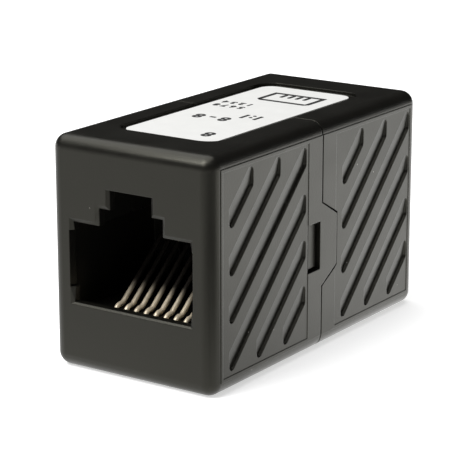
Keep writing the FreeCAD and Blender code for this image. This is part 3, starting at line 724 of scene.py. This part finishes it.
def socket_symbol(place, width, line, height):
    """Outline of a socket's stepped mouth, one line wide."""
    first, second = SYMBOL_NARROWING
    start_fresh()
    bpy.ops.mesh.primitive_plane_add(size=1, location=place)
    symbol = bpy.context.object
    symbol.scale = (width, width * SYMBOL_RISE, 1)
    bpy.ops.object.transform_apply(location=False, rotation=False, scale=True)
    bpy.ops.object.mode_set(mode="EDIT")
    bpy.ops.mesh.select_mode(type="EDGE")
    for step, narrowed in ((0.0, first), (width * SYMBOL_STEP, second), (width * SYMBOL_STEP, None)):
        bpy.ops.mesh.select_all(action="DESELECT")
        bpy.ops.object.mode_set(mode="OBJECT")
        mesh = symbol.data
        lowest = min(vertex.co.y for vertex in mesh.vertices)
        for edge in mesh.edges:
            edge.select = all(mesh.vertices[v].co.y < lowest + line * 0.1 for v in edge.vertices)
        bpy.ops.object.mode_set(mode="EDIT")
        if step:
            bpy.ops.mesh.extrude_region_move(
                TRANSFORM_OT_translate={"value": (0, -step, 0)})
        if narrowed:
            bpy.ops.mesh.extrude_region_move(TRANSFORM_OT_translate={"value": (0, 0, 0)})
            bpy.ops.transform.resize(value=(narrowed, 1, 1))
    bpy.ops.mesh.select_mode(type="FACE")
    bpy.ops.mesh.select_all(action="SELECT")
    bpy.ops.mesh.inset(thickness=line, use_boundary=True)
    bpy.ops.mesh.delete(type="FACE")
    bpy.ops.mesh.select_all(action="SELECT")
    bpy.ops.mesh.extrude_region_move(TRANSFORM_OT_translate={"value": (0, 0, height)})
    bpy.ops.object.mode_set(mode="OBJECT")
    return symbol


class COUPLER_OT_label_print(bpy.types.Operator):
    """Print plain numbers and a socket symbol on the label"""

    bl_idname = "coupler.label_print"
    bl_label = "Label print"

    def execute(self, context):
        settings = context.scene.label_print
        low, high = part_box("label")
        face = high.z - settings.ink_height * INK_SUNK
        middle = (low + high) / 2
        height = settings.ink_height

        def at(x, y):
            """Place on the label, in millimetres from its middle."""
            return Vector((middle.x + x * MM, middle.y + y * MM, face))

        marks = [socket_symbol(at(*SYMBOL_PLACE), SYMBOL_WIDTH * MM, settings.line, height)]
        for text, size, x, y in NUMBERS:
            marks.append(lettering(text, size * MM, at(x, y), height))
        for bar in range(BAR_COUNT):
            place = at(BAR_START[0] + BAR_PITCH * bar, BAR_START[1])
            marks.append(rounded_bar(BAR_SIZE[0] * MM, BAR_SIZE[1] * MM, place, height))
        only(marks[0])
        for mark in marks[1:]:
            mark.select_set(True)
        bpy.ops.object.join()
        marking = settle(bpy.context.object, "label_marking")
        face_outwards(marking)
        dress(marking, print_ink(settings))
        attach(marking, BODY)
        dress(frame["nodes"]["label"], label_stock(settings))
        return {"FINISHED"}


# ------------------------------------------------------------------ case and inside

# The mouth's edges in millimetres: where the plain solid has them, which way is outwards,
# where the finished mouth has them, and how far its lead-in reaches outwards there.
PLAIN_BEVEL = 0.1
MOUTH_ACROSS = (
    (6.36, 1, 6.24, 0.0),      # side reliefs
    (6.22, 1, 5.9, 0.32),      # main opening
    (3.625, 1, 3.2, 0.32),     # latch step
    (2.45, 1, 2.085, 0.32),    # latch slot
)
MOUTH_UP = (
    (5.7, -1, 5.87, 0.17),     # sill
    (6.97, -1, 7.18, 0.0),     # lower ends of the reliefs
    (11.78, 1, 12.06, 0.0),    # upper ends of the reliefs
    (12.74, 1, 12.81, 0.32),   # shoulders
    (14.2, 1, 14.31, 0.32),    # top of the latch step
    (15.45, 1, 16.02, 0.0),    # top of the latch slot
)
EDGE_MATCH = 0.02              # how near to a mouth edge its vertices lie
FACE_MATCH = 0.01              # how near to the front face its vertices lie
MOUTH_REACH = 6.5              # the mouth's edges lie within this of the middle
MOUTH_SPAN = (5.5, 15.6)       # and between these heights
SILL_TOP = 5.8                 # the sill's bevel lies below this
SIDES_TOP = 12.5               # the lead-in of the sides lies below this
CASE_SMOOTH = math.radians(9.5)


def mouth_edge(place, edges, on_face):
    """New place of a mouth edge, or the old one where no edge of the mouth lies there."""
    for plain, outwards, finished, lead_in in edges:
        if abs(place - (plain + outwards * PLAIN_BEVEL * on_face) * MM) < EDGE_MATCH * MM:
            return (finished + outwards * lead_in * on_face) * MM
    return place


def finish_mouth(mesh, settings):
    """Give the mouth in the front face its lead-in, and its step and slot their full rise."""
    face = case_low.y
    lowest, highest = (height * MM for height in MOUTH_SPAN)
    for vertex in mesh.vertices:
        at = vertex.co
        in_mouth = abs(at.x) <= MOUTH_REACH * MM and lowest < at.z < highest
        if at.y > face + settings.wall or not in_mouth:
            continue
        on_face = at.y < face + FACE_MATCH * MM
        if at.z < SILL_TOP * MM:
            lead_in = settings.sill_bevel
        elif at.z < SIDES_TOP * MM:
            lead_in = settings.lead_in
        else:
            lead_in = settings.ceiling_lead_in
        side = 1 if at.x > 0 else -1
        at.x = side * mouth_edge(abs(at.x), MOUTH_ACROSS, on_face)
        at.z = mouth_edge(at.z, MOUTH_UP, on_face)
        if not on_face and at.y < face + PLAIN_BEVEL * 1.1 * MM:
            at.y = face + lead_in


def slope_recesses(mesh, settings):
    """Let the floors of the grip recesses run out at their upper edges."""
    field = case_high.x - settings.field_sink
    shallowest = settings.plain_run_out * 0.95
    deepest = settings.plain_depth * 1.02
    for vertex in mesh.vertices:
        at = vertex.co
        depth = field - abs(at.x)
        in_field = (case_low.y + settings.field_edge < at.y < -settings.field_land
                    and case_low.z + settings.field_edge < at.z < case_high.z - settings.field_edge)
        if not in_field or not shallowest < depth < deepest:
            continue
        share = (depth - settings.plain_run_out) / (settings.plain_depth - settings.plain_run_out)
        depth = settings.run_out + max(share, 0) * (settings.recess_depth - settings.run_out)
        at.x = math.copysign(field - depth, at.x)


def seam_lip(name, height_above_base, settings):
    """Thin bar that fills the seam inside the top or bottom wall, behind an open groove."""
    width = case_high.x - case_low.x - 2 * settings.lip_inset
    lip = rounded_bar(width, settings.lip_height, (0, 0, 0), settings.lip_thickness)
    lip.matrix_world = (Matrix.Translation((0, settings.lip_thickness / 2, height_above_base))
                        @ Matrix.Rotation(math.pi / 2, 4, "X"))
    settle(lip, name)
    face_outwards(lip)
    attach(lip, BODY)


class COUPLER_OT_half_cases(bpy.types.Operator):
    """Finish the moulded form of both half cases and fill their seam"""

    bl_idname = "coupler.half_cases"
    bl_label = "Half cases"

    def execute(self, context):
        settings = context.scene.case_form
        case = copy_of(frame["nodes"]["front_shell"], "front_half_case")
        face_outwards(case)
        finish_mouth(case.data, settings)
        slope_recesses(case.data, settings)
        face_outwards(case)
        smooth_curves(case, CASE_SMOOTH)
        twin = copy_of(case, "rear_half_case", Matrix.Rotation(math.pi, 4, "Z"))
        for side, piece in zip(SIDES, (case, twin)):
            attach(piece, BODY)
            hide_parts(side + "_shell")
        in_wall = settings.lip_inset + settings.lip_height / 2
        seam_lip("lower_seam_lip", case_low.z + in_wall, settings)
        seam_lip("upper_seam_lip", case_high.z - in_wall, settings)
        return {"FINISHED"}


class COUPLER_OT_case_finish(bpy.types.Operator):
    """Give the half cases and contact blocks their black plastic"""

    bl_idname = "coupler.case_finish"
    bl_label = "Case finish"

    def execute(self, context):
        settings = context.scene.case_plastic
        case = black_plastic("case_plastic", settings)
        block = black_plastic("block_plastic", settings, gloss=0.06, grain=0.5)
        for wall in ("lower", "upper"):
            dress(bpy.data.objects[wall + "_seam_lip"], case)
        for side in SIDES:
            dress(bpy.data.objects[side + "_half_case"], case)
            dress(frame["nodes"][side + "_contact_block"], block)
        return {"FINISHED"}


class COUPLER_OT_board_finish(bpy.types.Operator):
    """Give the circuit board its green solder mask"""

    bl_idname = "coupler.board_finish"
    bl_label = "Board finish"

    def execute(self, context):
        dress(frame["nodes"]["circuit_board"], solder_mask())
        return {"FINISHED"}


# ------------------------------------------------------------------ studio

# Painted reflection and painted shade in the floor, seen only by reflections.
TURN_OF_SHINE = 0.03           # the floor's painted reflection changes from this far before to behind
SHADE_PATCH_PLACE = (0.07, -0.06, 0)  # middle of the painted shade patch in reflections, where a dark flag would stand
SHADE_PATCH_EDGE = (0.03, 0.085)      # where the patch starts to fade, and where it has ended
# brightness left in the middle of the painted shade patch
SHADE_PATCH_LEVEL = 0.15
# Millimetres that the camera stands left of and below the line to the coupler's middle.
CAMERA_LEFT = 0.6446
CAMERA_DOWN = 1.1185
SENSOR_WIDTH = 36              # millimetres
# Each soft light's name, place, aim, size and power in watts.
LIGHTS = (
    ("overhead_softbox", (-0.10, -0.03, 0.35), (0, 0, 0), (0.5, 0.5), 1.4),
    ("front_softbox", (-0.10, -0.24, 0.33), (0, 0, 0.01), (0.2, 0.2), 0.9),
)


def pale_floor(settings):
    """Floor that glows a little from below. To reflections only, it shows a painted reflection
    that is brighter behind the coupler than before it, with painted shade at the front right, where a
    dark flag would stand."""
    start_fresh()
    bpy.ops.mesh.primitive_plane_add(size=settings.floor_size, location=(0, 0, 0))
    floor = bpy.context.object
    settle(floor, "studio_floor")
    material, tree, shader, position = new_material("studio_floor")
    shader.inputs["Base Color"].default_value = (*settings.floor_colour, 1)
    shader.inputs["Roughness"].default_value = 0.8
    shader.inputs["Specular IOR Level"].default_value = 0.1
    shader.inputs["Emission Color"].default_value = (1, 1, 1, 1)
    shader.inputs["Emission Strength"].default_value = settings.floor_glow
    link = tree.links.new
    across = tree.nodes.new("ShaderNodeSeparateXYZ")
    rise = add_node(tree, "ShaderNodeMapRange", interpolation_type="SMOOTHSTEP")
    for name, value in (("From Min", -TURN_OF_SHINE), ("From Max", TURN_OF_SHINE),
                        ("To Min", settings.front_shine), ("To Max", settings.side_shine)):
        rise.inputs[name].default_value = value
    away = add_node(tree, "ShaderNodeVectorMath", operation="DISTANCE")
    away.inputs[1].default_value = SHADE_PATCH_PLACE
    shade = add_node(tree, "ShaderNodeMapRange", interpolation_type="SMOOTHSTEP")
    for name, value in (("From Min", SHADE_PATCH_EDGE[0]), ("From Max", SHADE_PATCH_EDGE[1]), ("To Min", SHADE_PATCH_LEVEL)):
        shade.inputs[name].default_value = value
    # Painted reflection: only glossy rays see this glow, brighter behind the coupler and darkened by
    # painted shade at the front right.
    shine = add_node(tree, "ShaderNodeMath", operation="MULTIPLY")
    painted_reflection = tree.nodes.new("ShaderNodeEmission")
    path = tree.nodes.new("ShaderNodeLightPath")
    mix = tree.nodes.new("ShaderNodeMixShader")
    link(position, across.inputs[0])
    link(position, away.inputs[0])
    link(across.outputs["Y"], rise.inputs["Value"])
    link(away.outputs["Value"], shade.inputs["Value"])
    link(rise.outputs["Result"], shine.inputs[0])
    link(shade.outputs["Result"], shine.inputs[1])
    link(shine.outputs[0], painted_reflection.inputs["Strength"])
    link(path.outputs["Is Glossy Ray"], mix.inputs[0])
    link(shader.outputs[0], mix.inputs[1])
    link(painted_reflection.outputs[0], mix.inputs[2])
    link(mix.outputs[0], tree.nodes["Material Output"].inputs["Surface"])
    dress(floor, material)


def soft_light(name, place, aim, size, power):
    """Square area light aimed at a point."""
    start_fresh()
    bpy.ops.object.light_add(type="AREA", location=place)
    light = bpy.context.object
    light.name = name
    light.data.shape = "RECTANGLE"
    light.data.size, light.data.size_y = size
    light.data.energy = power
    light.rotation_euler = (Vector(aim) - Vector(place)).to_track_quat("-Z", "Y").to_euler()


def surroundings(glossy, diffuse):
    """White backdrop to the eye, dim room to reflections."""
    world = bpy.data.worlds.new("studio")
    bpy.context.scene.world = world
    world.use_nodes = True
    tree = world.node_tree
    link = tree.links.new
    backdrop = tree.nodes["Background"]
    backdrop.inputs["Color"].default_value = (1, 1, 1, 1)
    dim = add_node(tree, "ShaderNodeBackground", Strength=glossy)
    dim.inputs["Color"].default_value = (1, 1, 1, 1)
    path = tree.nodes.new("ShaderNodeLightPath")
    soft = add_node(tree, "ShaderNodeBackground", Strength=diffuse)
    mix_camera = tree.nodes.new("ShaderNodeMixShader")
    mix_gloss = tree.nodes.new("ShaderNodeMixShader")
    link(path.outputs["Is Glossy Ray"], mix_gloss.inputs[0])
    link(soft.outputs[0], mix_gloss.inputs[1])
    link(dim.outputs[0], mix_gloss.inputs[2])
    link(path.outputs["Is Camera Ray"], mix_camera.inputs[0])
    link(mix_gloss.outputs[0], mix_camera.inputs[1])
    link(backdrop.outputs[0], mix_camera.inputs[2])
    link(mix_camera.outputs[0], tree.nodes["World Output"].inputs["Surface"])


def add_camera(settings):
    """Camera on the coupler, level, at the set angles."""
    turn, lift = settings.azimuth, settings.elevation
    back = Vector((math.sin(turn) * math.cos(lift), -math.cos(turn) * math.cos(lift),
                   math.sin(lift)))
    right = Vector((math.cos(turn), math.sin(turn), 0))
    up = back.cross(right)
    middle = Vector((0, 0, (case_low.z + case_high.z) / 2))
    place = (middle + back * settings.distance - right * CAMERA_LEFT * MM
             - up * CAMERA_DOWN * MM)
    start_fresh()
    bpy.ops.object.camera_add(location=place)
    camera = bpy.context.object
    camera.name = "studio_camera"
    camera.matrix_world = Matrix.Translation(place) @ Matrix(
        (right, up, back)).transposed().to_4x4()
    camera.data.sensor_width = SENSOR_WIDTH
    camera.data.lens = settings.lens
    camera.data.clip_start = 0.005
    camera.data.clip_end = 20
    bpy.context.scene.camera = camera


class COUPLER_OT_stage(bpy.types.Operator):
    """Set up the floor, soft lights and camera"""

    bl_idname = "coupler.stage"
    bl_label = "Stage"

    def execute(self, context):
        settings = context.scene.studio
        pale_floor(settings)
        surroundings(glossy=0.02, diffuse=0.25)
        for light in LIGHTS:
            soft_light(*light)
        add_camera(settings)
        context.scene.view_settings.view_transform = "Standard"
        return {"FINISHED"}


# ------------------------------------------------------------------ panel and run

OPERATORS = (COUPLER_OT_half_cases, COUPLER_OT_case_finish, COUPLER_OT_board_finish,
             COUPLER_OT_contact_wires, COUPLER_OT_label_print, COUPLER_OT_stage)


class COUPLER_PT_panel(bpy.types.Panel):
    """Sizes, colours and making steps of the coupler"""

    bl_idname = "COUPLER_PT_panel"
    bl_label = "Inline coupler"
    bl_space_type = "VIEW_3D"
    bl_region_type = "UI"
    bl_category = "Coupler"

    def draw(self, context):
        for group, kind in GROUPS:
            box = self.layout.box()
            for name in kind.__annotations__:
                box.prop(getattr(context.scene, group), name)
        for operator in OPERATORS:
            self.layout.operator(operator.bl_idname)


def register():
    """Register the settings, the operators and the panel."""
    for group, kind in GROUPS:
        bpy.utils.register_class(kind)
        setattr(bpy.types.Scene, group, bpy.props.PointerProperty(type=kind))
    for kind in (*OPERATORS, COUPLER_PT_panel):
        bpy.utils.register_class(kind)


def unregister():
    """Take back what register adds."""
    for kind in (COUPLER_PT_panel, *reversed(OPERATORS)):
        bpy.utils.unregister_class(kind)
    for group, kind in reversed(GROUPS):
        delattr(bpy.types.Scene, group)
        bpy.utils.unregister_class(kind)


def main():
    """Dress the coupler and set the stage."""
    register()
    bpy.ops.coupler.half_cases()
    bpy.ops.coupler.case_finish()
    bpy.ops.coupler.board_finish()
    bpy.ops.coupler.contact_wires()
    bpy.ops.coupler.label_print()
    bpy.ops.coupler.stage()


if __name__ == "__main__":
    main()
